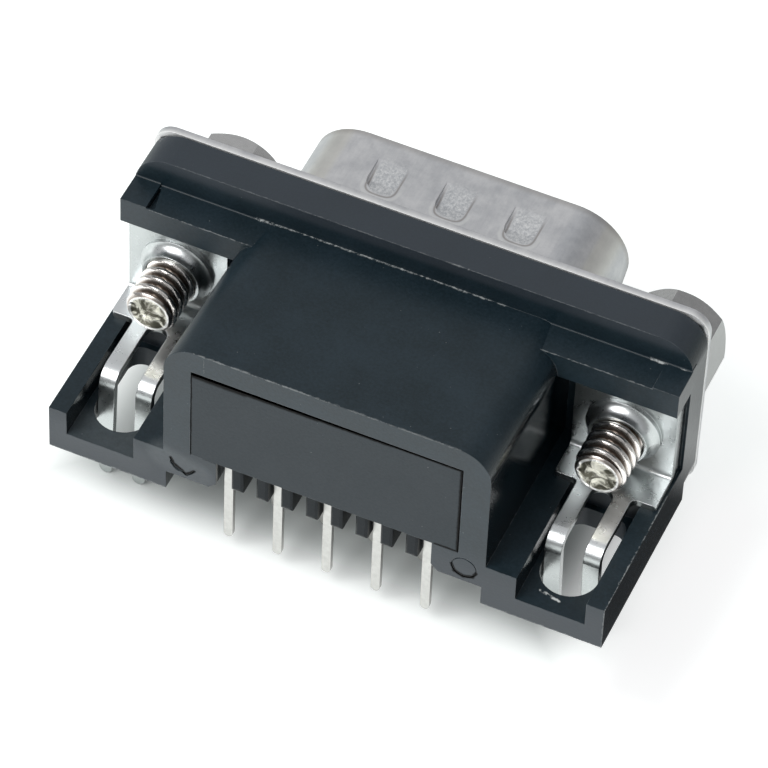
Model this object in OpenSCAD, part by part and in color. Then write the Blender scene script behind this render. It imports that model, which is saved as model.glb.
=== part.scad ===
// Nine-way right-angle D-subminiature plug for a printed circuit board.
// X runs along the connector, +Y is the mating direction, +Z is up.
// The origin lies on the board's top surface, where the board's edge meets the flange.

/* [Contacts] */
// Distance between neighbouring contacts of one row
contact_pitch = 2.77; // [2.5:0.01:3.4]
// Distance between the two rows of contacts
row_gap = 2.84; // [2.4:0.01:3.2]
// Diameter of a mating pin
pin_d = 1.0; // [0.8:0.02:1.2]
// Diameter of the barrel that holds a pin in the contact block
barrel_d = 1.4; // [1.3:0.02:1.6]
// How far the mating pins' ends lie behind the rim of the shell
pin_recess = 0.75; // [0.3:0.05:1.5]
// Width of a solder tail
tail_w = 0.5; // [0.35:0.01:0.6]
// Thickness of the strip that a solder tail is bent from
tail_t = 0.3; // [0.2:0.01:0.4]
// Length of a solder tail below the board's top surface
tail_l = 2.9; // [2.4:0.1:4]
// Distance from the board's edge to the nearer row of tails
tail_setback = 6.65; // [6:0.05:8]

/* [Shell] */
// Clear height inside the shell
shell_h = 8.36; // [7.9:0.01:9.2]
// Distance from the last contact of the long row to the inside of the shell
shell_side = 2.92; // [2.6:0.01:3.6]
// Radius of the shell's inner corners
shell_r = 2.6; // [2:0.1:3]
// Lean of the shell's two short sides
shell_lean = 10; // [8:1:12]
// Thickness of the shell's sheet
shell_t = 0.4; // [0.3:0.05:0.5]
// How far the shell stands out from the moulded flange
shell_l = 5.85; // [5:0.05:7]
// Radius of the drawn corner between the shell's flange and its shroud
shell_cove = 0.5; // [0.2:0.05:0.8]
// Depth of the earthing dimples
dimple_depth = 0.34; // [0.2:0.02:0.45]
// Width of the earthing dimples
dimple_w = 1.7; // [1:0.1:2.2]
// Length of the earthing dimples
dimple_l = 2.2; // [1.6:0.1:2.8]
// Distance between neighbouring earthing dimples
dimple_pitch = 3.85; // [2.8:0.05:4.2]

/* [Flange] */
// Distance from the inside of the shell to a jackscrew's axis
screw_side = 4.035; // [3.9:0.005:6]
// Distance from a jackscrew's axis to the flange's end
flange_side = 2.955; // [2.6:0.005:4]
// Height of the flange
flange_h = 12.55; // [11.6:0.05:15]
// Thickness of the moulded flange
flange_t = 2.1; // [1.6:0.05:3]
// Corner radius of the moulded flange
flange_r = 1.9; // [1:0.1:2.4]
// Corner radius of the shell's flange
shell_flange_r = 1.2; // [0.8:0.1:2]

/* [Housing] */
// Height of the contacts' and jackscrews' middle above the board
axis_h = 5.9; // [5.7:0.05:8]
// Depth of the housing behind the flange
body_d = 10.27; // [10.2:0.01:13]
// Thickness of the housing's side walls
side_wall = 1.5; // [1:0.05:1.9]
// Thickness of the housing's roof at the back
roof = 1.45; // [1:0.05:2]
// Fall of the roof from the back to the flange
roof_fall = 0.66; // [0:0.02:1]
// Radius of the roof's long edges
roof_r = 1.8; // [0.8:0.1:2.2]
// Height of the contact block's face in front of the moulded flange
block_out = 1.3; // [0.8:0.1:2]
// Thickness of the contact block behind the flange
block_in = 2.6; // [2:0.1:3.4]
// Height of the two legs' undersides above the board
leg_lift = 1.3; // [0.6:0.05:1.8]
// Height of the lip that runs along the back of the flange
lip_h = 1.64; // [1:0.02:2]
// Depth of the lip
lip_d = 1.85; // [1.4:0.05:2.4]
// Depth of the step in the lip's top between its ends and the housing
lip_step = 0.1; // [0:0.02:0.2]

/* [Feet] */
// Height of the feet
foot_h = 2.95; // [2.4:0.05:3.6]
// Thickness of the floor of a foot
foot_floor = 1.35; // [1:0.05:1.8]
// Thickness of a foot's outer wall
foot_wall = 1.0; // [0.6:0.05:1.2]
// Distance from the board's edge to the pocket in a foot
pocket_setback = 2.85; // [2.4:0.05:3.4]
// Width of the oblong hole for the board lock
lock_hole_w = 3.1; // [2.6:0.1:3.6]
// Length of the oblong hole for the board lock
lock_hole_l = 5.85; // [5:0.05:6.2]
// Radius of the hole's two front corners
lock_hole_r = 0.8; // [0.2:0.1:1.3]
// Diameter of the ejector marks in the legs' back faces
mark_d = 1.4; // [0.8:0.1:1.6]

/* [Rear cover] */
// Distance from the last contact of the long row to the cover's end
cover_side = 1.86; // [1.6:0.02:2.2]
// Height of the cover
cover_h = 6.3; // [5.6:0.05:6.8]
// Thickness of the cover
cover_t = 0.42; // [0.3:0.02:0.5]
// Widest gap above the cover
cover_gap = 0.2; // [0.06:0.02:0.3]
// Gap between a rib and the contact beside it
rib_clear = 0.1175; // [0.05:0.0025:0.25]
// Height of the ribs' lower ends above the board
rib_lift = 1.5; // [1:0.05:2]

/* [Board-lock brackets] */
// Thickness of the brackets' sheet
bracket_t = 0.4; // [0.3:0.05:0.5]
// Depth of the pad between the flange and a bracket
pad_d = 0.72; // [0.5:0.02:1]
// Width of a bracket
bracket_w = 5.6; // [5:0.1:5.7]
// Width over the fork's two tines
fork_w = 3.0; // [2.8:0.05:3.4]
// Radius of the inner corners between the ears and the fork
fork_fillet = 0.3; // [0:0.05:0.4]
// Radius of the ears' outer corners
ear_r = 0.2; // [0:0.05:0.4]
// Width of the slot in the fork
fork_slot = 1.2; // [0.9:0.05:1.4]
// Distance from the board's edge to the fork's tines
tine_setback = 7.45; // [7:0.05:8]
// Length of the tines below the board's top surface
tine_l = 3.75; // [3:0.05:5]
// How much a tine is narrowed on its outer side towards its tip
tine_taper = 0.2; // [0:0.05:0.3]
// Height of the collar that is drawn from the bracket
collar_h = 0.95; // [0.6:0.05:1.4]

/* [Jackscrews] */
// Outer diameter of the jackscrew's thread
screw_d = 2.84; // [2.4:0.02:3]
// How far the thread comes out behind the flange
screw_out = 4.65; // [3.5:0.05:5]
// Width across the flats of the jackscrew's hexagon
hex_w = 4.75; // [4.2:0.05:5]
// Length of the hexagon
hex_l = 4.4; // [3:0.05:5.5]
// Diameter of the flat ring left on the hexagon's front by its chamfer
hex_face_d = 4.3; // [3.6:0.1:4.6]
// Angle of the hexagon's chamfer
hex_chamfer = 40; // [15:5:45]
// Diameter of the hole that is tapped in the hexagon
tapped_d = 2.3; // [2:0.02:2.5]

/* [Hidden] */
$fn = 64;

long_row = 5;
half_row = (long_row - 1) / 2 * contact_pitch;
shell_x = half_row + shell_side;
screw_x = shell_x + screw_side;
flange_x = screw_x + flange_side;
shell_flange_gap = 0.045;
fit = 0.02;
bore_gap = 0.05;
corner_bite = 0.002;

cover_x = half_row + cover_side;
cover_gap_side = 0.05;
body_x = cover_x + cover_gap_side + side_wall;
cover_z = axis_h - 2.6;
opening_top = cover_z + cover_h + cover_gap / 2;
body_top = opening_top + roof;
lip_top = body_top - roof_fall;
lip_bottom = lip_top - lip_h;
roof_slope = atan(roof_fall / body_d);

tail_gap_x = half_row + tail_w / 2 + 0.2;
leg_chamfer = 0.4;
front_tail_y = -tail_setback;
back_tail_y = -tail_setback - row_gap;
rib_step = contact_pitch / 2;
rib_w = rib_step - tail_w - 2 * rib_clear;
rib_round = 0.35;
rib_chamfer = 0.12;
bend_r = 0.3;

lip_end = 1.45;
lip_cove = 0.1;
rim_gap = 0.12;
pit_depth = 0.3;

foot_in = body_x - 0.15;
pocket_in = screw_x - lock_hole_w / 2 - 0.3;
pocket_out = flange_x - foot_wall;
lock_hole_y = -pocket_setback - 0.35 - lock_hole_l / 2;

mark_x = body_x - 1.15;
mark_depth = 0.06;

bracket_back = -pad_d - bracket_t;
bracket_top = lip_bottom - fit;
ear_y = -3.25;
slot_y = -3.2 - fork_slot / 2;
fold_r = 0.25;
tine_r = 0.6;

shell_front = flange_t + shell_l;
pin_front = shell_front - pin_recess;
block_front = flange_t + block_out;
hex_back = flange_t + shell_t;
hex_front = hex_back + hex_l;
dimple_y = hex_back + 1.8;

// An outline in X and Z, drawn out along Y from y0 to y1.
module along_y(y0, y1) {
    translate([0, y1, 0]) rotate([90, 0, 0]) linear_extrude(y1 - y0) children();
}

// An outline in Y and Z, drawn out along X from x0 to x1.
module along_x(x0, x1) {
    translate([x0, 0, 0]) rotate([90, 0, 90]) linear_extrude(x1 - x0) children();
}

// A round bar along Y.
module bar_y(d, y0, y1) {
    translate([0, y0, 0]) rotate([-90, 0, 0]) cylinder(d = d, h = y1 - y0);
}

module box(x0, x1, y0, y1, z0, z1) {
    translate([x0, y0, z0]) cube([x1 - x0, y1 - y0, z1 - z0]);
}

// A rectangle round the middle, with all four corners rounded.
module rounded_rectangle(w, h, r) {
    square([w - 2 * r, h], center = true);
    square([w, h - 2 * r], center = true);
    for (x = [-1, 1], y = [-1, 1]) translate([x * (w / 2 - r), y * (h / 2 - r)]) circle(r);
}

// The D of the mating face: a keystone with round corners, grown outwards by grow.
// Its leaning sides lie a hair inside the corner arcs, so that each arc crosses them cleanly.
module keystone(grow) {
    r = shell_r + grow;
    side_r = r - corner_bite;
    top_x = shell_x - shell_r;
    z = shell_h / 2 - shell_r;
    bottom_x = top_x - 2 * z * tan(shell_lean);
    nx = side_r * cos(shell_lean);
    nz = side_r * sin(shell_lean);
    polygon([[-top_x, z + r], [top_x, z + r], [top_x + nx, z - nz], [bottom_x + nx, -z - nz],
             [bottom_x, -z - r], [-bottom_x, -z - r], [-bottom_x - nx, -z - nz],
             [-top_x - nx, z - nz]]);
    for (s = [-1, 1]) {
        translate([s * top_x, z]) circle(r);
        translate([s * bottom_x, -z]) circle(r);
    }
}

// One dimple's form, sunk into the shell's wide side: round at its deep end, then ramping out.
module dimple(x, width, depth, top) {
    intersection() {
        translate([x, dimple_y, top - 2 * depth]) linear_extrude(3 * depth) {
            translate([0, dimple_w / 2]) circle(d = width);
            translate([-width / 2, dimple_w / 2]) square([width, dimple_l]);
        }
        along_x(x - width, x + width)
            polygon([[dimple_y - width, top - depth], [dimple_y + dimple_w / 2, top - depth],
                     [dimple_y + dimple_l, top], [dimple_y + dimple_l, top + depth],
                     [dimple_y - width, top + depth]]);
    }
}

// The section of the drawn corner, for a wall at x = wall and a plate at y = 0.
module cove_section(wall) {
    difference() {
        translate([wall - 0.1, -0.1]) square([shell_cove + 0.1, shell_cove + 0.1]);
        translate([wall + shell_cove, shell_cove]) circle(shell_cove);
    }
}

// The drawn corner all round the D: a straight run on each side and a ring at each corner.
module drawn_corner() {
    r = shell_r + shell_t;
    top_x = shell_x - shell_r;
    z = shell_h / 2 - shell_r;
    bottom_x = top_x - 2 * z * tan(shell_lean);
    slant = 2 * z / cos(shell_lean);
    for (s = [-1, 1]) {
        for (c = [[top_x, z], [bottom_x, -z]]) translate([s * c[0], 0, c[1]])
            rotate([-90, 0, 0]) rotate_extrude() cove_section(r);
        translate([0, 0, s * z]) rotate([0, -s * 90, 0])
            linear_extrude_centred(s > 0 ? 2 * top_x : 2 * bottom_x) cove_section(r);
        translate([s * bottom_x, 0, -z]) mirror([s < 0 ? 1 : 0, 0, 0]) rotate([0, shell_lean, 0])
            linear_extrude(slant) cove_section(r - corner_bite);
    }
}

module linear_extrude_centred(h) {
    translate([0, 0, -h / 2]) linear_extrude(h) children();
}

// Drawn and tinned steel shell: the flange plate and the D-shaped shroud in one piece.
module front_shell() {
    inner_top = axis_h + shell_h / 2;
    outer_top = inner_top + shell_t;
    color("silver") difference() {
        union() {
            translate([0, 0, axis_h]) along_y(flange_t, flange_t + shell_t)
                rounded_rectangle(2 * (flange_x - shell_flange_gap), flange_h, shell_flange_r);
            translate([0, 0, axis_h]) along_y(flange_t, shell_front) keystone(shell_t);
            translate([0, flange_t + shell_t, axis_h]) drawn_corner();
        }
        difference() {
            translate([0, 0, axis_h]) along_y(flange_t - 1, shell_front + 1) keystone(0);
            for (i = [-1:1])
                dimple(i * dimple_pitch, dimple_w + shell_t, dimple_depth, inner_top);
        }
        for (i = [-1:1]) dimple(i * dimple_pitch, dimple_w, dimple_depth, outer_top);
        for (s = [-1, 1]) translate([s * screw_x, 0, axis_h])
            bar_y(screw_d + 0.2, flange_t - 1, flange_t + shell_t + 1);
    }
}

// Upper-row contacts are 1 to 5 and lower-row contacts 6 to 9, counted from the +X end.
function contact_x(i) = i <= long_row ? half_row - (i - 1) * contact_pitch
                                      : half_row - (i - long_row - 0.5) * contact_pitch;
function contact_z(i) = axis_h + (i <= long_row ? 1 : -1) * row_gap / 2;
function contact_tail_y(i) = i <= long_row ? back_tail_y : front_tail_y;

// The inclined roof and straight sides of the hood, cut square at the flange and at the back.
module hood() {
    reach = body_d + 2;
    intersection() {
        translate([0, -body_d, body_top]) rotate([-roof_slope, 0, 0]) along_y(-1, reach) {
            translate([-body_x, -2 * body_top]) square([2 * body_x, 2 * body_top - roof_r]);
            translate([-body_x + roof_r, -2 * body_top])
                square([2 * (body_x - roof_r), 2 * body_top]);
            for (s = [-1, 1]) translate([s * (body_x - roof_r), -roof_r]) circle(roof_r);
        }
        box(-body_x, body_x, -body_d, 0.5, leg_lift, body_top + 1);
    }
}

// The lip's section, with a cove where it meets the flange.
module lip_section(top) {
    translate([-lip_d, lip_bottom]) square([lip_d + 0.5, top - lip_bottom]);
    difference() {
        translate([-lip_cove, top - 0.1]) square([lip_cove + 0.5, lip_cove + 0.1]);
        translate([-lip_cove, top + lip_cove]) circle(lip_cove);
    }
}

// The oblong hole for the board lock: round at the back, with small corners in front.
module lock_hole() {
    w = lock_hole_w / 2;
    front = lock_hole_l / 2;
    r = lock_hole_r;
    translate([0, w - front]) circle(w);
    translate([-w, w - front]) square([2 * w, 2 * front - w - r]);
    translate([-w + r, w - front]) square([2 * (w - r), 2 * front - w]);
    for (s = [-1, 1]) translate([s * (w - r), front - r]) circle(r);
}

// One foot: a tray with an outer wall, a step beside the hood and an oblong hole in its floor.
module foot() {
    difference() {
        box(foot_in, flange_x, -body_d, 0.5, 0, foot_h);
        box(pocket_in, pocket_out, -body_d - 1, -pocket_setback, foot_floor, foot_h + 1);
        translate([screw_x, lock_hole_y, -1]) linear_extrude(foot_h + 2) lock_hole();
    }
}

// The fine round line that an ejector leaves in a leg's back face.
module ejector_mark(x, z) {
    translate([x, 0, z]) difference() {
        bar_y(mark_d, -body_d - 1, -body_d + mark_depth);
        bar_y(mark_d - 0.12, -body_d - 2, -body_d + 1);
    }
}

// The broken edge in the left leg's back face, a ragged crack open to the back.
module broken_edge() {
    translate([-mark_x, 0, leg_lift + 0.95]) along_y(-body_d - 1, -body_d + 0.35)
        polygon([[-0.79, 0.32], [-0.72, 0.28], [-0.64, 0.10], [-0.68, -0.02], [-0.55, -0.14],
                 [-0.50, -0.28], [-0.36, -0.32], [-0.24, -0.40], [-0.10, -0.42], [0.06, -0.50],
                 [0.14, -0.62], [0.26, -0.56], [0.44, -0.36], [0.60, -0.10], [0.64, -0.14],
                 [0.50, -0.44], [0.30, -0.64], [0.12, -0.74], [0.00, -0.60], [-0.16, -0.56],
                 [-0.28, -0.60], [-0.42, -0.54], [-0.56, -0.42], [-0.66, -0.26], [-0.76, -0.12],
                 [-0.78, 0.02], [-0.73, 0.12]]);
}

// The sunk corner beside the lip's left end block.
module lip_pit() {
    x = -flange_x + lip_end;
    translate([0, 0, lip_top - lip_step - pit_depth]) linear_extrude(pit_depth + 1)
        polygon([[x + 0.02, -0.25], [x + 0.12, -0.25], [x + 0.42, -lip_d + 0.22],
                 [x + 0.30, -lip_d + 0.12], [x + 0.02, -lip_d + 0.12]]);
}

// Moulded housing: flange, lip, hood, feet and the block that holds the contacts.
module housing() {
    cavity_x = cover_x + cover_gap_side;
    color("#2e3640") difference() {
        union() {
            translate([0, 0, axis_h]) along_y(0, flange_t - rim_gap)
                rounded_rectangle(2 * flange_x, flange_h, flange_r);
            translate([0, 0, axis_h]) along_y(flange_t - 0.5, flange_t)
                rounded_rectangle(2 * (flange_x - rim_gap), flange_h - 2 * rim_gap,
                                  flange_r - rim_gap);
            translate([0, 0, axis_h]) along_y(flange_t - 0.5, block_front) keystone(-bore_gap);
            along_x(-flange_x, flange_x) lip_section(lip_top - lip_step);
            for (s = [-1, 1]) {
                along_x(s * (flange_x - lip_end / 2) - lip_end / 2,
                        s * (flange_x - lip_end / 2) + lip_end / 2) lip_section(lip_top);
                box(s * screw_x - bracket_w / 2, s * screw_x + bracket_w / 2,
                    -pad_d, 0.5, foot_h - 0.5, lip_bottom + 0.5);
            }
            hood();
            foot();
            mirror([1, 0, 0]) foot();
        }
        box(-cavity_x, cavity_x, -body_d - 1, -block_in, cover_z, opening_top);
        along_y(-body_d - 1, -block_in)
            polygon([[-tail_gap_x - leg_chamfer, leg_lift - 1], [-tail_gap_x - leg_chamfer, leg_lift],
                     [-tail_gap_x, leg_lift + leg_chamfer], [-tail_gap_x, cover_z + 1],
                     [tail_gap_x, cover_z + 1], [tail_gap_x, leg_lift + leg_chamfer],
                     [tail_gap_x + leg_chamfer, leg_lift], [tail_gap_x + leg_chamfer, leg_lift - 1]]);
        for (i = [1:9]) translate([contact_x(i), 0, contact_z(i)])
            bar_y(barrel_d + 2 * fit, -block_in - 1, block_front + 1);
        for (s = [-1, 1]) translate([s * screw_x, 0, axis_h])
            bar_y(screw_d + 2 * bore_gap, -lip_d - 1, flange_t + 1);
        ejector_mark(mark_x, leg_lift + 1.03);
        broken_edge();
        lip_pit();
    }
}

// Rear cover with the comb of ribs that keeps the contacts' legs apart.
module rear_cover() {
    back = -body_d;
    rib_front = front_tail_y + 0.9;
    rib_top = cover_z + cover_h - 0.5;
    color("#3a414a") {
        along_y(back, back + cover_t)
            polygon([[-cover_x, cover_z + fit], [cover_x, cover_z + fit],
                     [cover_x, opening_top - cover_gap_side],
                     [-cover_x, opening_top - cover_gap]]);
        for (i = [-4:3]) intersection() {
            x = (i + 0.5) * rib_step;
            along_x(x - rib_w / 2, x + rib_w / 2) {
                translate([back + 0.07, rib_lift + rib_round])
                    square([rib_front - back - 0.07, rib_top - rib_lift - rib_round]);
                translate([back + 0.07 + rib_round, rib_lift])
                    square([rib_front - back - 0.07 - 2 * rib_round, 2 * rib_round]);
                for (y = [back + 0.07 + rib_round, rib_front - rib_round])
                    translate([y, rib_lift + rib_round]) circle(rib_round);
            }
            translate([x, 0, rib_lift - 1]) linear_extrude(rib_top - rib_lift + 2)
                polygon([[-rib_w / 2, rib_front + 1], [-rib_w / 2, back + 0.07 + rib_chamfer],
                         [-rib_w / 2 + rib_chamfer, back + 0.07],
                         [rib_w / 2 - rib_chamfer, back + 0.07],
                         [rib_w / 2, back + 0.07 + rib_chamfer], [rib_w / 2, rib_front + 1]]);
        }
    }
}

// One contact: a round pin with a shoulder, and a flat strip bent down into a solder tail.
module contact(i) {
    z = contact_z(i);
    y = contact_tail_y(i);
    t = tail_t;
    shoulder_d = barrel_d + 0.3;
    r = bend_r + t;
    color("#d4d4d0") translate([contact_x(i), 0, 0]) {
        translate([0, 0, z]) {
            bar_y(pin_d, block_front - 1, pin_front - pin_d / 2);
            translate([0, pin_front - pin_d / 2, 0]) sphere(d = pin_d);
            bar_y(barrel_d, -block_in - 0.4, block_front);
            bar_y(shoulder_d, -block_in - 0.4, -block_in);
        }
        intersection() {
            along_x(-tail_w / 2, tail_w / 2) {
                translate([y - t / 2 + r, z - t / 2]) square([-block_in - 0.2 - y + t / 2 - r, t]);
                translate([y - t / 2, -tail_l]) square([t, z + t / 2 - r + tail_l]);
                intersection() {
                    translate([y - t / 2 + r, z + t / 2 - r]) difference() {
                        circle(r);
                        circle(bend_r);
                    }
                    translate([y - t / 2 - 1, z + t / 2 - r]) square([1 + r, r + 1]);
                }
            }
            along_y(back_tail_y - 2, 0) {
                translate([-tail_w / 2, -tail_l + tail_w / 2]) square([tail_w, 2 * axis_h + tail_l]);
                translate([0, -tail_l + tail_w / 2]) circle(d = tail_w);
            }
        }
    }
}

// The bracket's section: the upright, the fold, the shelf and the tines bent down.
// The tines' tips lie the lean behind or in front of their roots.
module bracket_section(lean) {
    t = bracket_t;
    top = foot_h + t;
    fold = fold_r + t;
    bend = tine_r + t;
    translate([bracket_back, foot_h + fold]) square([t, bracket_top - foot_h - fold]);
    intersection() {
        translate([bracket_back - fold_r, top + fold_r]) difference() {
            circle(fold);
            circle(fold_r);
        }
        translate([bracket_back - fold_r, foot_h - 1]) square([fold + 1, fold + 1]);
    }
    translate([-tine_setback + bend, foot_h])
        square([tine_setback - bend + bracket_back - fold_r, t]);
    intersection() {
        translate([-tine_setback + bend, top - bend]) difference() {
            circle(bend);
            circle(tine_r);
        }
        translate([-tine_setback - 1, top - bend]) square([bend + 1, bend + 1]);
    }
    polygon([[-tine_setback, top - bend], [-tine_setback + lean, -tine_l],
             [-tine_setback + lean + t, -tine_l], [-tine_setback + t, top - bend]]);
}

// The bracket seen from above: wide ears on the foot, then the fork.
module bracket_plan() {
    w = bracket_w / 2;
    f = fork_w / 2;
    c = fork_fillet;
    difference() {
        union() {
            translate([-w, ear_y + ear_r]) square([2 * w, 1 - ear_y - ear_r]);
            translate([-w + ear_r, ear_y]) square([2 * (w - ear_r), 1 - ear_y]);
            translate([-f, -tine_setback - 1]) square([2 * f, tine_setback + 2]);
            for (s = [-1, 1]) {
                translate([s * (w - ear_r), ear_y + ear_r]) circle(ear_r);
                difference() {
                    translate([s * (f + c / 2) - c / 2, ear_y - c]) square([c, c + 0.1]);
                    translate([s * (f + c), ear_y - c]) circle(c);
                }
            }
        }
        translate([0, slot_y]) circle(d = fork_slot);
        translate([-fork_slot / 2, -tine_setback - 2])
            square([fork_slot, slot_y + tine_setback + 2]);
    }
}

// The bracket seen from the back: the upright and the tines with their narrowed round tips.
module bracket_face() {
    w = bracket_w / 2;
    f = fork_w / 2;
    slot = fork_slot / 2;
    tip = f - tine_taper - slot;
    end = -tine_l + tip / 2;
    translate([-w, 0]) square([2 * w, bracket_top]);
    for (s = [-1, 1]) {
        polygon([[s * slot, end], [s * (slot + tip), end], [s * f, end + 0.9],
                 [s * f, 0.5], [s * slot, 0.5]]);
        translate([s * (slot + tip / 2), end]) circle(d = tip);
    }
}

// Tinned spring-steel bracket with a drawn collar, ending in the board lock's fork.
module bracket(side, lean) {
    collar_back = bracket_back - collar_h;
    color("#c9ccc8") translate([side * screw_x, 0, 0]) difference() {
        union() {
            intersection() {
                along_x(-bracket_w / 2, bracket_w / 2) bracket_section(lean);
                translate([0, 0, -tine_l - 1]) linear_extrude(bracket_top + tine_l + 2)
                    bracket_plan();
                along_y(-tine_setback - 1, 0) bracket_face();
            }
            translate([0, 0, axis_h]) rotate([-90, 0, 0]) rotate_extrude()
                difference() {
                    translate([0, collar_back]) square([screw_d / 2 + 0.62, collar_h + 0.1]);
                    translate([screw_d / 2 + 0.2 + collar_h * 0.7, collar_back + 0.1])
                        circle(collar_h * 0.7);
                    translate([screw_d / 2 + 0.2, collar_back - 1]) square([1, 1.1]);
                }
        }
        translate([0, 0, axis_h]) bar_y(screw_d + fit, collar_back - 1, 1);
    }
}

// Jackscrew: a threaded shank behind, and a hexagon with a tapped hole in front.
module jackscrew(side, turn) {
    corner_r = hex_w / sqrt(3);
    chamfer = (corner_r + 1 - hex_face_d / 2) * tan(hex_chamfer);
    color("#b9b7b0") translate([side * screw_x, 0, axis_h]) difference() {
        union() {
            bar_y(screw_d, -screw_out + 0.25, hex_back + 0.5);
            translate([0, -screw_out, 0]) rotate([-90, 0, 0])
                cylinder(d1 = screw_d - 0.5, d2 = screw_d, h = 0.25);
            intersection() {
                translate([0, hex_back, 0]) rotate([-90, turn, 0]) cylinder(r = corner_r, h = hex_l, $fn = 6);
                translate([0, hex_back, 0]) rotate([-90, 0, 0]) rotate_extrude()
                    polygon([[0, 0], [corner_r + 1, 0], [corner_r + 1, hex_l - chamfer],
                             [hex_face_d / 2, hex_l], [0, hex_l]]);
            }
        }
        bar_y(tapped_d, hex_front - 4.5, hex_front + 1);
        translate([0, hex_front - 0.3, 0]) rotate([-90, 0, 0])
            cylinder(d1 = tapped_d, d2 = tapped_d + 0.8, h = 0.4);
    }
}

front_shell();
housing();
rear_cover();
for (i = [1:9]) contact(i);
bracket(-1, -0.4);  // bracket_left
bracket(1, 0.4);  // bracket_right
jackscrew(-1, -8);  // jackscrew_left
jackscrew(1, -37);  // jackscrew_right
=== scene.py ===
"""Right-angle nine-way D-sub plug: finishes, threads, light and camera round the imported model."""
import math
import random

import bmesh
import bpy
from mathutils import Matrix, Vector


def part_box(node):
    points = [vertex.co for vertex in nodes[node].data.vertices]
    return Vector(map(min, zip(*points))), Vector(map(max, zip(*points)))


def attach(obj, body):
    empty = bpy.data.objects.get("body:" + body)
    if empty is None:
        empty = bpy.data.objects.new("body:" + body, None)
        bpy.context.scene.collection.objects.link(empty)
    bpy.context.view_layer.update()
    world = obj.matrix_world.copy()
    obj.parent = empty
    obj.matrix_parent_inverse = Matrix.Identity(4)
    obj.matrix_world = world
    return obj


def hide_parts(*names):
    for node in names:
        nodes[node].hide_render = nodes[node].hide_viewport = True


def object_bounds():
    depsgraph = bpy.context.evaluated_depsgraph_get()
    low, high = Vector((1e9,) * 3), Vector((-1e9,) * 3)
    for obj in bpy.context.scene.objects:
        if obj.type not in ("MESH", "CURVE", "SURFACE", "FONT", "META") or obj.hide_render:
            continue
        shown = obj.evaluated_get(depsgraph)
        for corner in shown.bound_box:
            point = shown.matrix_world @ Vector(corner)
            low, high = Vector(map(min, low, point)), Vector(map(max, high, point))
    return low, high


MM = 0.001

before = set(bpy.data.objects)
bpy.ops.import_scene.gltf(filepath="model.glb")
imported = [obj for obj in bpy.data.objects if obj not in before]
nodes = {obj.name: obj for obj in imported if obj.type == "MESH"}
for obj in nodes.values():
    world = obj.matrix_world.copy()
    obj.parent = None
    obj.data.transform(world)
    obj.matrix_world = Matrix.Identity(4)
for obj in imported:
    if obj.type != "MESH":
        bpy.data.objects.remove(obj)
cad_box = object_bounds()


def place(x, y, z):
    """A point in the shared frame, given in millimetres."""
    return Vector((x, y, z)) * MM


def clamp(value, low, high):
    return max(low, min(high, value))


# ---------------------------------------------------------------- measures

housing_low, housing_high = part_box("housing")
shell_low, shell_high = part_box("front_shell")
screw_low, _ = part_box("jackscrew_right")
bracket_low, bracket_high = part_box("bracket_right")

SHELL_SHEET = 0.4 * MM
SCREW_X = (bracket_low.x + bracket_high.x) / 2
AXIS_Z = (shell_low.z + shell_high.z) / 2
SCREW_END_Y = screw_low.y
HEX_BACK_Y = shell_low.y + SHELL_SHEET
FLOOR_Z = cad_box[0].z

# the ones below are in millimetres
BACK = housing_low.y / MM

SHELL_BACK = shell_low.y / MM
SHELL_FRONT = shell_high.y / MM
SHELL_HALF_HEIGHT = 4.18
SHELL_TOP = AXIS_Z / MM + SHELL_HALF_HEIGHT
FLANGE_MIDDLE_X = 15.0
FLANGE_MIDDLE_Z = 5.6

DIMPLE_MID_X = 0.1
DIMPLE_PITCH = 3.85
DIMPLE_Y = 4.95
DIMPLE_R = 0.84
DIMPLE_SQUARENESS = 3.2

PITCH = 0.635
THREAD_R = 1.42
THREAD_DEPTH = 0.36
THREAD_FRONT = -0.5
FINISH_CHANGE_Y = 2.2
END_R = 1.14
END_TAPER = 0.35
CAD_SHANK_R = 1.3

FOOTPRINT_MID_X = -2.0
FOOTPRINT_HALF_X = housing_high.x / MM
FOOTPRINT_MID_Y = (housing_low.y + shell_high.y) / 2 / MM
FOOTPRINT_HALF_Y = (shell_high.y - housing_low.y) / 2 / MM


def on_back(x, z):
    """A point of the connector's back face, given in millimetres."""
    return place(x, BACK, z)


# ---------------------------------------------------------------- camera

CAMERA_AZIMUTH = math.radians(22.08)
CAMERA_ELEVATION = math.radians(49.02)
CAMERA_ROLL = math.radians(2.77)
CAMERA_DISTANCE = 288.1 * MM
CAMERA_TARGET = place(0.42, -3.93, 6.13)
CAMERA_LENS = 266.0


def add_camera():
    """A long lens, above and behind the connector's right end."""
    back = Vector((math.sin(CAMERA_AZIMUTH) * math.cos(CAMERA_ELEVATION),
                   -math.cos(CAMERA_AZIMUTH) * math.cos(CAMERA_ELEVATION),
                   math.sin(CAMERA_ELEVATION)))
    level = Vector((math.cos(CAMERA_AZIMUTH), math.sin(CAMERA_AZIMUTH), 0))
    upright = back.cross(level)
    right = level * math.cos(CAMERA_ROLL) + upright * math.sin(CAMERA_ROLL)
    up = upright * math.cos(CAMERA_ROLL) - level * math.sin(CAMERA_ROLL)
    data = bpy.data.cameras.new("camera")
    data.lens = CAMERA_LENS
    data.sensor_width = 36.0
    data.clip_start = 0.01
    data.clip_end = 20.0
    camera = bpy.data.objects.new("camera", data)
    turn = Matrix((right, up, back)).transposed()
    camera.matrix_world = (Matrix.Translation(CAMERA_TARGET + back * CAMERA_DISTANCE)
                           @ turn.to_4x4())
    bpy.context.scene.collection.objects.link(camera)
    bpy.context.scene.camera = camera


add_camera()


# ---------------------------------------------------------------- shader arithmetic

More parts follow.
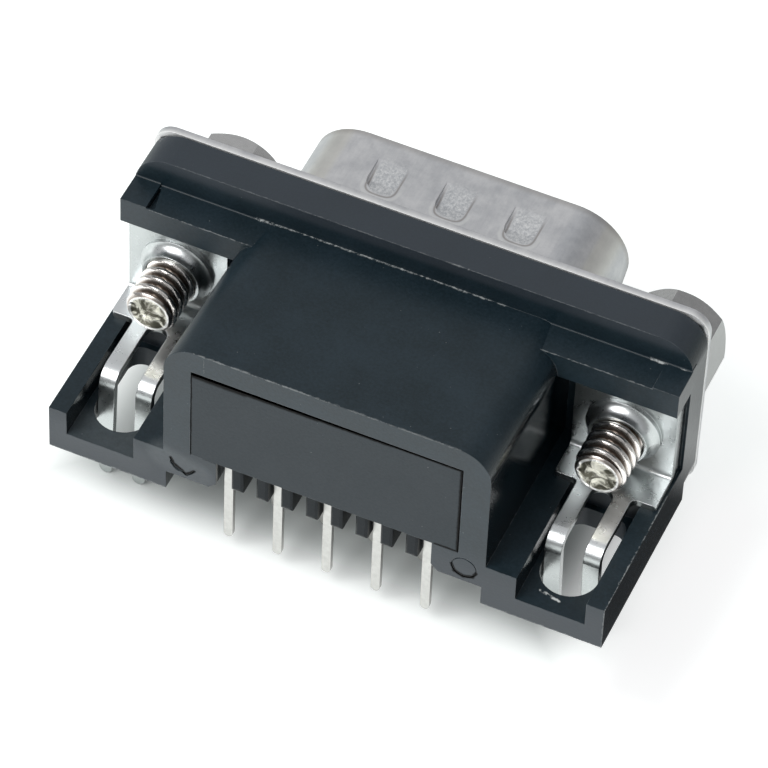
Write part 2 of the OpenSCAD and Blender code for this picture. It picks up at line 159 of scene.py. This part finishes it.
class Value:
    """A node's output that takes part in Python arithmetic, one Math node for each operator."""

    def __init__(self, tree, socket):
        self.tree = tree
        self.socket = socket

    def _math(self, operation, *terms):
        return self.tree.add("ShaderNodeMath", {"operation": operation},
                             dict(enumerate(terms)))

    def __add__(self, other):
        return self._math("ADD", self, other)

    def __sub__(self, other):
        return self._math("SUBTRACT", self, other)

    def __rsub__(self, other):
        return self._math("SUBTRACT", other, self)

    def __mul__(self, other):
        return self._math("MULTIPLY", self, other)

    def __pow__(self, other):
        return self._math("POWER", self, other)

    def __abs__(self):
        return self._math("ABSOLUTE", self)

    __radd__ = __add__
    __rmul__ = __mul__

    def root(self):
        return self._math("SQRT", self)

    def least(self, other):
        return self._math("MINIMUM", self, other)

    def most(self, other):
        return self._math("MAXIMUM", self, other)

    def step(self, start, end):
        """0 before start, 1 after end, smooth between; with end below start it falls instead."""
        low, high = min(start, end), max(start, end)
        first, last = (0.0, 1.0) if start < end else (1.0, 0.0)
        return self.tree.add("ShaderNodeMapRange", {"interpolation_type": "SMOOTHSTEP"},
                             {"Value": self, "From Min": low, "From Max": high,
                              "To Min": first, "To Max": last})

    def band(self, start, full, fade, end):
        """0 before start, 1 from full to fade, and 0 again after end."""
        return self.step(start, full) * self.step(end, fade)

    @staticmethod
    def heap(values):
        """The largest of several values at each point."""
        top = None
        for value in values:
            top = value if top is None else top.most(value)
        return top

    def to(self, low, high):
        """A 0 to 1 value spread over low to high."""
        return self * (high - low) + low


class Tree:
    """A node tree whose nodes all come from one method."""

    def __init__(self, owner):
        owner.use_nodes = True
        self.nodes = owner.node_tree.nodes
        self.links = owner.node_tree.links

    def feed(self, socket, value):
        """Sets a socket to a number or a colour, or links a Value to it."""
        if isinstance(value, Value):
            self.links.new(value.socket, socket)
        elif isinstance(value, (tuple, Vector)) and len(socket.default_value) == 4:
            socket.default_value = (*value[:3], 1.0)
        else:
            socket.default_value = value

    def add(self, kind, settings=None, inputs=None, out=0):
        """Adds a node: its settings first, then its sockets' values or links.

        Gives the output named or numbered by out, or a list of them where out is a tuple.
        """
        node = self.nodes.new(kind)
        for name, value in (settings or {}).items():
            setattr(node, name, value)
        for name, value in (inputs or {}).items():
            self.feed(node.inputs[name], value)
        if isinstance(out, tuple):
            return [Value(self, node.outputs[name]) for name in out]
        return Value(self, node.outputs[out])

    def vector(self, operation, first, second, out=0):
        """One Vector Math node on two vectors."""
        return self.add("ShaderNodeVectorMath", {"operation": operation},
                        {0: first, 1: second}, out=out)

    def split(self, vector):
        """A vector's X, Y and Z."""
        return self.add("ShaderNodeSeparateXYZ", {}, {0: vector}, out=(0, 1, 2))


class Finish(Tree):
    """A procedural material round one Principled shader."""

    def __init__(self, name, **constants):
        self.material = bpy.data.materials.new(name)
        super().__init__(self.material)
        self.shader = self.nodes["Principled BSDF"]
        for socket, value in constants.items():
            self.shader.inputs[socket.replace("_", " ")].default_value = value

    def where(self):
        """The point of the surface in the shared frame, in metres."""
        return self.add("ShaderNodeTexCoord", out="Object")

    def axes(self):
        """The point's X, Y and Z in millimetres."""
        return [axis * 1000.0 for axis in self.split(self.where())]

    def facing(self):
        """The surface normal's X, Y and Z."""
        return self.split(self.add("ShaderNodeNewGeometry", out="Normal"))

    def stretch(self, x, y, z):
        """The surface point with each axis scaled, to draw a texture out along one of them."""
        return self.vector("MULTIPLY", self.where(), (x, y, z))

    def wander(self, amount_mm, size_mm):
        """The surface point pushed about by soft noise, so that a drawn line isn't straight."""
        push = self.add("ShaderNodeTexNoise", {}, {"Vector": self.where(), "Detail": 2.0,
                                                   "Scale": 1.0 / (size_mm * MM)}, out=1)
        push = self.vector("SUBTRACT", push, (0.5, 0.5, 0.5))
        push = self.vector("MULTIPLY", push, (amount_mm * 2 * MM,) * 3)
        return self.vector("ADD", self.where(), push)

    def streak(self, start, end, width_mm, at=None):
        """1 on the straight line from start to end, falling to 0 at width_mm from it."""
        run = end - start
        offset = self.vector("SUBTRACT", at or self.where(), start)
        share = self.vector("DOT_PRODUCT", offset, run / run.length_squared, out=1)
        share = share.most(0.0).least(1.0)
        foot = self.add("ShaderNodeVectorMath", {"operation": "SCALE"},
                        {"Vector": run, "Scale": share})
        distance = self.vector("DISTANCE", offset, foot, out=1)
        return (distance * 1000.0).step(width_mm, width_mm * 0.35)

    def noise(self, size_mm, detail=3.0, rough=0.55, at=None, distortion=0.0):
        """Soft noise from 0 to 1, whose features are about size_mm across."""
        return self.add("ShaderNodeTexNoise", {},
                        {"Vector": at or self.where(), "Scale": 1.0 / (size_mm * MM),
                         "Detail": detail, "Roughness": rough, "Distortion": distortion})

    def specks(self, spacing_mm, radius):
        """Small separate dots, 1 inside and 0 outside; radius is a share of the spacing."""
        dots = self.add("ShaderNodeTexVoronoi", {"feature": "F1"},
                        {"Vector": self.where(), "Scale": 1.0 / (spacing_mm * MM),
                         "Randomness": 1.0}, out="Distance")
        return dots.step(radius, radius * 0.6)

    def edges(self, radius_mm):
        """1 on sharp edges, falling to 0 at radius_mm from them."""
        round_normal = self.add("ShaderNodeBevel", {"samples": 6}, {"Radius": radius_mm * MM})
        normal = self.add("ShaderNodeNewGeometry", out="Normal")
        same = self.vector("DOT_PRODUCT", round_normal, normal, out="Value")
        return (1.0 - same).step(0.02, 0.22)

    def mix(self, share, first, second):
        """A colour from first at share 0 to second at share 1."""
        return self.add("ShaderNodeMix", {"data_type": "RGBA"}, {0: share, 6: first, 7: second},
                        out=2)

    def bump(self, height, distance_mm, edge_mm=0.05):
        """Feeds the shader's normal from a height, 0 to 1, with edges rounded to edge_mm."""
        rounded = self.add("ShaderNodeBevel", {"samples": 8}, {"Radius": edge_mm * MM})
        bumped = self.add("ShaderNodeBump", {}, {"Height": height, "Distance": distance_mm * MM,
                                                 "Strength": 1.0, "Normal": rounded},
                          out="Normal")
        self.feed(self.shader.inputs["Normal"], bumped)

    def paint(self, **fields):
        """Feeds the shader's sockets that vary over the surface."""
        for socket, value in fields.items():
            self.feed(self.shader.inputs[socket.replace("_", " ")], value)


# ---------------------------------------------------------------- finishes

def moulded_plastic(name, dark, light, roughness, ior=1.45, burrs=(), pale_marks_and_sheen=(), painted_shade=(),
                    walls=0.0, greyer_above=None, shaded_below=None):
    """Glass-filled black plastic: fine grain, cloudy tone, dust, and pale edges, partly worn and
    partly a painted highlight.

    Burrs are broken white lines along edges, scuffs are soft pale marks, most of them painted
    reflections and glints, and walls is the share by which faces turned to either side are glossier
    and, as painted shade, blacker than the rest. grime is black lines, a painted shade in cracks
    and joints. Above greyer_above, in mm, the skin is greyer, and low on the back it is painted
    greyer as a reflection of the floor. Under shaded_below, in mm, it is painted blacker as shade.
    """
    finish = Finish(name, IOR=ior)
    cloud = finish.noise(2.6, detail=4.0)
    grain = finish.noise(0.16, detail=2.0, rough=0.7)
    dust = finish.specks(1.05, 0.035) + finish.specks(0.47, 0.045) * cloud.step(0.5, 0.62)
    # pale on sharp edges, partly wear and partly a painted highlight
    worn_and_sheen_edges = finish.edges(0.07) * finish.noise(0.9, detail=3.0, rough=0.7).step(0.44, 0.64)
    tone = finish.mix((cloud * 0.45 + grain * 0.55).step(0.27, 0.73), dark, light)
    tone = finish.mix(worn_and_sheen_edges * 0.4, tone, (0.30, 0.33, 0.35))
    tone = finish.mix(dust * 0.22, tone, (0.5, 0.52, 0.52))
    # soft pale marks, most of them painted reflections and glints
    if pale_marks_and_sheen:
        marks = Value.heap(finish.streak(start, end, width) * strength
                           for start, end, width, strength in pale_marks_and_sheen)
        marks = marks * finish.noise(0.3, detail=4.0, rough=0.75).to(0.3, 1.3)
        tone = finish.mix(marks.least(1.0), tone, (0.42, 0.46, 0.47))
    if burrs:
        ragged = finish.wander(0.08, 0.22)
        lines = Value.heap(finish.streak(start, end, width, at=ragged) * strength
                           for start, end, width, strength in burrs)
        lines = lines * finish.noise(0.7, detail=4.0, rough=0.8).step(0.42, 0.55)
        tone = finish.mix(lines.least(1.0), tone, (0.72, 0.75, 0.74))
    across, along, _ = finish.facing()
    _, _, z = finish.axes()
    # greyer above greyer_above, and painted greyer low on the back as a reflection of the floor
    if greyer_above:
        painted_floor_sheen = z.step(4.5, 1.5) * along.step(-0.6, -0.9)
        greyer_top_and_floor_sheen = z.step(greyer_above, greyer_above + 0.5).most(painted_floor_sheen)
        tone = finish.mix(greyer_top_and_floor_sheen * 0.6, tone, (0.042, 0.05, 0.062))
    black = []
    # painted shade: blacker under shaded_below
    if shaded_below:
        black.append(z.step(shaded_below, shaded_below - 0.1) * 0.6)
    # black lines of painted shade in cracks and joints
    if painted_shade:
        ragged = finish.wander(0.04, 0.2)
        black.append(Value.heap(finish.streak(start, end, width, at=ragged) * strength
                                for start, end, width, strength in painted_shade))
    # faces turned to either side are glossier, and painted blacker as shade
    gloss = abs(across).step(0.8, 0.98) * walls
    painted_shade_share = Value.heap(black + [gloss * 0.55])
    tone = finish.mix(painted_shade_share, tone, (0.0, 0.0, 0.0))
    finish.paint(Base_Color=tone, Metallic=painted_shade_share,
                 Roughness=(roughness + grain * 0.1 + cloud * 0.06) * (1.0 - gloss))
    finish.bump(grain + cloud * 0.5, 0.009)
    return finish.material


def plated_shell():
    """Satin tin plate on drawn steel: faint draw lines, a warm rolled rim, glittering dimples edged
    in painted shade and highlight, and a painted reflection in stripes on the corners.
    """
    finish = Finish("satin_tin", Metallic=1.0)
    x, y, z = finish.axes()
    draw_lines = finish.noise(0.12, detail=3.0, rough=0.6, at=finish.stretch(1.0, 0.12, 1.0))
    cloud = finish.noise(1.3, detail=5.0, rough=0.7)
    bands = finish.noise(1.1, detail=2.0, at=finish.stretch(1.0, 0.05, 0.3))
    tone = finish.mix((cloud * 0.6 + draw_lines * 0.15 + bands * 0.25).step(0.3, 0.7),
                      (0.55, 0.555, 0.575), (0.79, 0.785, 0.79))
    # the corners' rounds get pale and dark stripes by which way they face, a painted reflection
    lean, _, _ = finish.facing()
    wall = y.step(SHELL_BACK + 0.5, SHELL_BACK + 0.7)
    dark = lean.band(0.02, 0.12, 0.36, 0.5) * wall
    tone = finish.mix(dark * 0.2, tone, (0.36, 0.39, 0.44))
    pale = lean.band(0.5, 0.62, 0.8, 0.95).most(lean.band(-0.75, -0.55, -0.35, -0.2)) * wall
    tone = finish.mix(pale * 0.5, tone, (0.80, 0.78, 0.70))
    rim = y.step(SHELL_FRONT - 0.5, SHELL_FRONT - 0.05)
    tone = finish.mix(rim * 0.45, tone, (0.38, 0.35, 0.32))
    # the earthing dimples: a dark brown line round the deep end, a painted shade of its step, a
    # painted highlight outside it, and a glittering floor
    top = z.step(SHELL_TOP - 0.7, SHELL_TOP - 0.55)
    side = Value.heap((abs(x - i * DIMPLE_PITCH - DIMPLE_MID_X) * -1.0) for i in (-1, 0, 1))
    short = (y - DIMPLE_Y).least(0.0)
    radius = (abs(side) ** DIMPLE_SQUARENESS
              + abs(short) ** DIMPLE_SQUARENESS) ** (1 / DIMPLE_SQUARENESS)
    deep = y.step(DIMPLE_Y + 1.6, DIMPLE_Y + 0.4)
    line = abs(radius - DIMPLE_R).step(0.08, 0.01) * deep * top
    dimple_highlight = abs(radius - (DIMPLE_R + 0.18)).step(0.14, 0.02)
    dimple_highlight = dimple_highlight * y.step(DIMPLE_Y + 0.2, DIMPLE_Y - 0.4) * top
    floor = radius.step(DIMPLE_R, DIMPLE_R - 0.18) * y.step(DIMPLE_Y + 2.1, DIMPLE_Y + 0.9) * top
    glitter = finish.noise(0.15, detail=4.0, rough=0.75)
    tone = finish.mix(dimple_highlight * 0.5, tone, (0.86, 0.86, 0.84))
    tone = finish.mix(floor * 0.6, tone, finish.mix(glitter.step(0.36, 0.7),
                                                    (0.44, 0.46, 0.48), (0.95, 0.95, 0.94)))
    tone = finish.mix(line * 0.5, tone, (0.17, 0.13, 0.10))
    # the raw edge of the flange, next to the moulding
    middle = (abs(z - AXIS_Z / MM).step(FLANGE_MIDDLE_Z + 0.3, FLANGE_MIDDLE_Z)
              * abs(x).step(FLANGE_MIDDLE_X + 0.2, FLANGE_MIDDLE_X))
    back = y.step(SHELL_BACK + 0.34, SHELL_BACK + 0.02)
    raw = back * (1.0 - z.step(-0.2, -0.3)) * (1.0 - middle)
    tone = finish.mix(raw * 0.8, tone, (0.95, 0.95, 0.94))
    finish.paint(Base_Color=tone,
                 Roughness=(cloud * 0.12 + draw_lines * 0.1 + raw * 0.3 + 0.26).least(0.7))
    finish.bump(draw_lines * 0.25 + glitter * floor, 0.012)
    return finish.material


def zinc_plate():
    """Bright zinc plate, mottled, with greenish white passivation."""
    finish = Finish("bright_zinc", Metallic=1.0)
    mottle = finish.noise(0.5, detail=5.0, rough=0.72)
    cloud = finish.noise(1.5, detail=3.0)
    spots = finish.noise(0.22, detail=3.0, rough=0.7).step(0.58, 0.72)
    tone = finish.mix(mottle * 0.6 + cloud * 0.4, (0.36, 0.385, 0.385), (0.49, 0.515, 0.51))
    # the faces that lie level are painted brighter than the uprights, a painted reflection
    _, _, up = finish.facing()
    tone = finish.mix(up.step(0.3, 0.9) * 0.8, tone, (0.90, 0.92, 0.93))
    tone = finish.mix(spots * 0.25, tone, (0.82, 0.84, 0.83))
    finish.paint(Base_Color=tone, Roughness=mottle * 0.18 + spots * 0.1 + 0.2)
    finish.bump(mottle, 0.008, edge_mm=0.06)
    return finish.material


def nickel(name, side):
    """Bright nickel: dark brown thread grooves, pinkish lands, a rough tarnished end."""
    finish = Finish(name, Metallic=1.0)
    x, y, z = finish.axes()
    across = x - side * SCREW_X / MM
    height = z - AXIS_Z / MM
    radius = (across * across + height * height).root()
    mottle = finish.noise(0.3, detail=4.0, rough=0.7)
    end_y = SCREW_END_Y / MM
    end = y.step(end_y + 0.2, end_y + 0.14) * radius.step(END_R + 0.06, END_R - 0.04)
    shank = y.step(FINISH_CHANGE_Y + 0.1, FINISH_CHANGE_Y) * (1.0 - end)
    hexagon = y.step(FINISH_CHANGE_Y, FINISH_CHANGE_Y + 0.2)
    groove = radius.step(THREAD_R - 0.06, END_R) * shank
    tone = finish.mix(mottle, (0.62, 0.58, 0.55), (0.88, 0.85, 0.82))
    tone = finish.mix(hexagon, tone,
                      finish.mix(mottle, (0.46, 0.455, 0.45), (0.64, 0.635, 0.63)))
    tone = finish.mix(groove * 0.9, tone, (0.13, 0.09, 0.065))
    blotch = finish.noise(0.8, detail=4.0, rough=0.6, distortion=0.8).step(0.43, 0.62)
    turned = finish.mix(blotch, (0.10, 0.095, 0.07), (0.95, 0.92, 0.80))
    turned = finish.mix(radius.step(END_R - 0.16, END_R - 0.08), turned, (0.96, 0.95, 0.92))
    tone = finish.mix(end, tone, turned)
    finish.paint(Base_Color=tone,
                 Roughness=mottle * 0.2 + groove * 0.15 + end * 0.1 + 0.1)
    pitted = mottle * (1.0 - end) * hexagon.to(1.0, 0.3)
    finish.bump(pitted + blotch * end * 3.0, 0.012, edge_mm=0.03)
    return finish.material


def tinned_contact():
    """Satin tin on the solder tails."""
    finish = Finish("tin_contact", Metallic=1.0)
    mottle = finish.noise(0.25, detail=3.0, rough=0.6)
    tone = finish.mix(mottle, (0.34, 0.34, 0.325), (0.56, 0.56, 0.54))
    finish.paint(Base_Color=tone, Roughness=mottle * 0.15 + 0.28)
    finish.bump(mottle, 0.003)
    return finish.material


def dress(node, material):
    """Gives a CAD node its finish."""
    piece = nodes[node]
    piece.data.materials.clear()
    piece.data.materials.append(material)
    for face in piece.data.polygons:
        face.material_index = 0


# ---------------------------------------------------------------- jackscrews

# the groove's bottom and one flank, as shares of half the pitch
THREAD_FLAT = 0.16
THREAD_FLANK = 0.62

# rings of the screw's hollowed end: share of its radius, and depth in mm
END_DISH = ((0.8, 0.03), (0.5, 0.09), (0.2, 0.11))
END_ROUGHNESS = 0.012

RINGS_PER_TURN = 14
POINTS_ROUND = 80
SHARP_ANGLE = math.radians(28)


def thread_radius(along, turn):
    """Radius of the thread, in mm, at a place along Y and a share of a turn round it."""
    phase = (along / PITCH - turn) % 1.0
    slope = abs(phase - 0.5) * 2.0
    ridge = clamp((slope - THREAD_FLAT) / THREAD_FLANK, 0.0, 1.0)
    ridge = ridge * ridge * (3 - 2 * ridge)
    return THREAD_R - THREAD_DEPTH * (1 - ridge)


def ring_of_points(mesh, side, along, radius_at, push=lambda: 0.0):
    """A ring of vertices round one jackscrew's axis, at along mm on Y."""
    ring = []
    for point in range(POINTS_ROUND):
        turn = point / POINTS_ROUND
        angle = 2 * math.pi * turn
        radius = radius_at(turn)
        ring.append(mesh.verts.new(place(side * SCREW_X / MM + radius * math.cos(angle),
                                         along + push(),
                                         AXIS_Z / MM + radius * math.sin(angle))))
    return ring


def bridge(mesh, first, second):
    """Faces between two rings."""
    for point in range(POINTS_ROUND):
        after = (point + 1) % POINTS_ROUND
        mesh.faces.new((first[point], second[point], second[after], first[after]))


def jackscrew(side, node, material):
    """One jackscrew with its thread, in place of the plain CAD node.

    The CAD node's hexagon stays and its plain shank makes way for the threaded one.
    """
    mesh = bmesh.new()
    mesh.from_mesh(nodes[node].data)
    axis = Vector((side * SCREW_X, 0, AXIS_Z))
    shank = [face for face in mesh.faces
             if face.calc_center_median().y < HEX_BACK_Y - 0.05 * MM
             and (face.calc_center_median() - axis).xz.length > CAD_SHANK_R * MM]
    bmesh.ops.delete(mesh, geom=shank, context="FACES")
    end_y = SCREW_END_Y / MM
    rows = int((THREAD_FRONT - end_y) / PITCH * RINGS_PER_TURN)
    rng = random.Random(4 if side > 0 else 9)
    start = rng.random()
    rings = []
    for row in range(rows + 1):
        along = end_y + (THREAD_FRONT - end_y) * row / rows
        into_end = clamp((along - end_y) / END_TAPER, 0.0, 1.0)
        limit = END_R + (THREAD_R - END_R) * into_end ** 0.6
        rings.append(ring_of_points(
            mesh, side, along, lambda turn: min(thread_radius(along, turn + start), limit)))
    for first, second in zip(rings, rings[1:]):
        bridge(mesh, first, second)
    previous = rings[0]
    for share, dish in END_DISH:
        ring = ring_of_points(mesh, side, end_y + dish, lambda turn: END_R * share,
                              push=lambda: rng.uniform(-END_ROUGHNESS, END_ROUGHNESS))
        bridge(mesh, ring, previous)
        previous = ring
    mesh.faces.new(list(reversed(previous)))
    data = bpy.data.meshes.new(node + "_turned")
    mesh.to_mesh(data)
    mesh.free()
    piece = bpy.data.objects.new(node + "_turned", data)
    bpy.context.scene.collection.objects.link(piece)
    data.materials.append(material)
    for face in data.polygons:
        face.material_index = 0
        face.use_smooth = True
    data.set_sharp_from_angle(angle=SHARP_ANGLE)
    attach(piece, "root")
    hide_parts(node)


# ---------------------------------------------------------------- marks on the mouldings

# each mark runs from one point to another, with its width in mm and its strength
HOUSING_BURRS = (
    # along the step behind the flange
    (place(-8.6, -0.03, 10.44), place(5.2, -0.03, 10.44), 0.1, 0.5),
    (place(13.2, -0.04, 10.43), place(15.4, -0.04, 10.43), 0.09, 0.6),
    # along the flange's own edge
    (place(-13.2, 0.0, 12.17), place(13.2, 0.0, 12.17), 0.05, 0.22),
    (place(2.2, 0.0, 12.17), place(3.1, 0.0, 12.17), 0.09, 0.5),
    # along the lip's back edge
    (place(-14.0, -1.85, 10.39), place(14.0, -1.85, 10.39), 0.05, 0.2),
    # along the top of the frame round the cover
    (on_back(-7.3, 11.15), on_back(-1.0, 11.15), 0.08, 0.2),
    (on_back(-1.0, 11.15), on_back(7.2, 11.15), 0.08, 0.12),
    (on_back(-6.75, 10.95), on_back(-6.74, 9.9), 0.03, 0.08),
    # along the feet's edges
    (on_back(-15.45, 0.0), on_back(-8.8, 0.0), 0.08, 0.7),
    (on_back(8.8, 0.0), on_back(15.45, 0.0), 0.08, 0.8),
    (on_back(15.45, 0.0), place(15.45, 0.0, 0.0), 0.12, 0.9),
    (on_back(15.45, 2.95), place(15.45, -2.0, 2.95), 0.07, 0.35),
    (on_back(15.45, 0.0), on_back(15.45, 2.95), 0.07, 0.4),
    # on the back rim of the right lock hole
    (place(11.6, -9.2, 1.35), place(12.7, -9.45, 1.35), 0.11, 0.9),
    # the feathered flash on the flange's right end
    (place(15.45, 0.52, 9.74), place(15.45, -0.05, 8.86), 0.08, 0.6),
)
HOUSING_PALE_MARKS_AND_SHEEN = (
    # pale patches low on the left leg's back and on the left lock pocket's floor
    (on_back(-9.0, 2.4), on_back(-7.0, 1.9), 1.2, 0.2),
    (place(-14.6, -9.4, 1.35), place(-10.6, -9.4, 1.35), 1.7, 0.12),
    # a painted glint and a painted streak of reflected light on the right side wall
    (place(8.95, -5.9, 8.85), place(8.95, -5.65, 8.6), 0.14, 1.0),
    (place(8.95, -7.6, 10.6), place(8.95, -4.2, 5.6), 0.22, 0.06),
)
HOUSING_PAINTED_SHADE = (
    # painted shade in the crack of the left leg
    (on_back(-8.52, 2.53), on_back(-8.35, 2.11), 0.15, 1.0),
    (on_back(-8.35, 2.11), on_back(-7.9, 1.83), 0.2, 1.0),
    (on_back(-7.9, 1.83), on_back(-7.66, 1.63), 0.16, 1.0),
    (on_back(-7.66, 1.63), on_back(-7.2, 2.1), 0.14, 1.0),
    # painted shade round the low side of the right leg's mark
    (on_back(7.12, 2.3), on_back(7.3, 1.84), 0.15, 1.0),
    (on_back(7.3, 1.84), on_back(7.78, 1.64), 0.2, 1.0),
    (on_back(7.78, 1.64), on_back(8.28, 1.82), 0.18, 1.0),
    (on_back(8.28, 1.82), on_back(8.48, 2.2), 0.14, 1.0),
    # painted shade in the joint between the flange and the shell
    (place(-9.5, 2.06, 12.17), place(13.4, 2.06, 12.17), 0.09, 0.8),
)
black = moulded_plastic("black_moulding", (0.001, 0.0095, 0.0145), (0.011, 0.0245, 0.035), 0.34,
                        burrs=HOUSING_BURRS, pale_marks_and_sheen=HOUSING_PALE_MARKS_AND_SHEEN, painted_shade=HOUSING_PAINTED_SHADE,
                        walls=0.8, greyer_above=11.3)
# black lines of painted shade in the gap round the rear cover
COVER_PAINTED_SHADE = (
    (on_back(-7.4, 9.5), on_back(-4.5, 9.48), 0.3, 1.0),
    (on_back(-4.5, 9.5), on_back(-0.5, 9.55), 0.22, 1.0),
    (on_back(-0.5, 9.56), on_back(3.5, 9.6), 0.17, 1.0),
    (on_back(3.5, 9.6), on_back(7.4, 9.6), 0.11, 1.0),
    (on_back(7.42, 9.5), on_back(7.42, 3.4), 0.2, 1.0),
    (on_back(6.2, 3.3), on_back(7.42, 3.32), 0.2, 1.0),
    (on_back(-7.42, 9.5), on_back(-7.42, 3.4), 0.08, 1.0),
)
cover = moulded_plastic("cover_moulding", (0.007, 0.015, 0.021), (0.020, 0.028, 0.035), 0.4,
                        ior=1.36, painted_shade=COVER_PAINTED_SHADE, shaded_below=3.28)
dress("housing", black)
dress("rear_cover", cover)
dress("front_shell", plated_shell())
zinc = zinc_plate()
dress("bracket_left", zinc)
dress("bracket_right", zinc)
tin = tinned_contact()
for number in range(1, 10):
    dress(f"contact_{number}", tin)
jackscrew(-1, "jackscrew_left", nickel("nickel_left", -1))
jackscrew(1, "jackscrew_right", nickel("nickel_right", 1))


# ---------------------------------------------------------------- floor, light and world

FLOOR_HALF = 1.5
FLOOR_GAP = 0.02 * MM

# in millimetres: how far outside the footprint the glow starts and is full; the missing glow under
# the connector is a painted shadow
GLOW_START = -3.4
GLOW_FULL = 0.4
# where the glow that the metal sees, a painted patch of light, is full, and where it has faded
POOL_FULL_Y = -4.0
POOL_FADED_Y = 14.0
# where the dark strip, a painted shade that the metal sees, starts, is full, fades and ends
SHADE_STRIP_X = (13.5, 16.5, 18.0, 22.0)
SHADE_STRIP_Y = (-12.5, -9.0, 3.0, 8.0)

ROOM_BRIGHT_SIDE = (0.0, 0.7, 0.714)
ROOM_SPREAD = (-0.2, 1.0)
ROOM_DARK = 0.35
ROOM_BRIGHT = 0.62
ROOM_TINT = (0.97, 0.985, 1.0)
DARK_WALL_SIDE = (0.55, 0.6, 0.58)
DARK_WALL_SPREAD = (0.82, 0.97)
DARK_WALL = 0.6


def add_floor():
    """A white floor that shows as white to the camera and in reflections, and keeps the shadow,
    partly painted.

    It glows everywhere but under the connector, where the missing glow is a painted shadow, and
    less strongly for the camera than in reflections, where the glow is a painted patch of light,
    brightest behind the connector and fading towards its front. A strip next to the connector has a
    dark colour, a painted shade that the metal sees, and glows more strongly for the camera.
    """
    data = bpy.data.meshes.new("floor")
    z = FLOOR_Z - FLOOR_GAP
    data.from_pydata([(-FLOOR_HALF, -FLOOR_HALF, z), (FLOOR_HALF, -FLOOR_HALF, z),
                      (FLOOR_HALF, FLOOR_HALF, z), (-FLOOR_HALF, FLOOR_HALF, z)],
                     [], [(0, 1, 2, 3)])
    floor = bpy.data.objects.new("floor", data)
    bpy.context.scene.collection.objects.link(floor)
    finish = Finish("floor_white", Roughness=0.9, Specular_IOR_Level=0.0, Emission_Strength=1.0)
    x, y, _ = finish.axes()
    out_x = abs(x - FOOTPRINT_MID_X) - FOOTPRINT_HALF_X
    out_y = abs(y - FOOTPRINT_MID_Y) - FOOTPRINT_HALF_Y
    # the glow is left out under the connector: a painted shadow
    outside = out_x.most(out_y).step(GLOW_START, GLOW_FULL)
    # a dark strip next to the connector: a painted shade that the metal sees
    shade_strip = x.band(*SHADE_STRIP_X) * y.band(*SHADE_STRIP_Y)
    # the glow that the metal sees fades towards the front: a painted patch of light
    painted_light_pool = y.step(POOL_FADED_Y, POOL_FULL_Y).to(0.1, 1.0) * (1.0 - shade_strip)
    camera_ray, glossy_ray = finish.add("ShaderNodeLightPath",
                                        out=("Is Camera Ray", "Is Glossy Ray"))
    glow = outside * (camera_ray * shade_strip.to(0.55, 0.86)).most(glossy_ray * painted_light_pool)
    finish.paint(Base_Color=finish.mix(shade_strip, (0.83, 0.87, 0.85), (0.14, 0.145, 0.15)),
                 Emission_Color=finish.mix(glow, (0.0, 0.0, 0.0), (1.0, 1.0, 1.0)))
    data.materials.append(finish.material)


def add_softbox(name, centre, aim, width, strength):
    """A square lamp at centre, turned towards aim."""
    data = bpy.data.lights.new(name, "AREA")
    data.shape = "SQUARE"
    data.size = width
    data.energy = strength
    lamp = bpy.data.objects.new(name, data)
    direction = aim - centre
    lamp.matrix_world = (Matrix.Translation(centre)
                         @ direction.to_track_quat("-Z", "Y").to_matrix().to_4x4())
    bpy.context.scene.collection.objects.link(lamp)


def add_world():
    """Pale surroundings, brightest high up beyond the flange, with a darker wall to the right.

    The camera sees plain white.
    """
    world = bpy.data.worlds.new("studio")
    bpy.context.scene.world = world
    tree = Tree(world)
    tree.nodes.clear()
    direction = tree.add("ShaderNodeTexCoord", out="Generated")

    def level_towards(side, spread, low, high):
        towards = tree.vector("DOT_PRODUCT", direction, side, out="Value")
        return towards.step(*spread).to(low, high)

    level = (level_towards(ROOM_BRIGHT_SIDE, ROOM_SPREAD, ROOM_DARK, ROOM_BRIGHT)
             * level_towards(DARK_WALL_SIDE, DARK_WALL_SPREAD, 1.0, DARK_WALL))
    room = tree.add("ShaderNodeBackground", {}, {"Color": ROOM_TINT, "Strength": level})
    white = tree.add("ShaderNodeBackground", {}, {"Color": (1.0, 1.0, 1.0)})
    camera_ray = tree.add("ShaderNodeLightPath", out="Is Camera Ray")
    shown = tree.add("ShaderNodeMixShader", {}, {0: camera_ray, 1: room, 2: white})
    tree.add("ShaderNodeOutputWorld", {}, {"Surface": shown}, out=())


add_floor()
add_world()
add_softbox("key", place(-150, -230, 310), place(0, -2, 5), width=0.28, strength=1.1)

bpy.context.scene.view_settings.view_transform = "Standard"
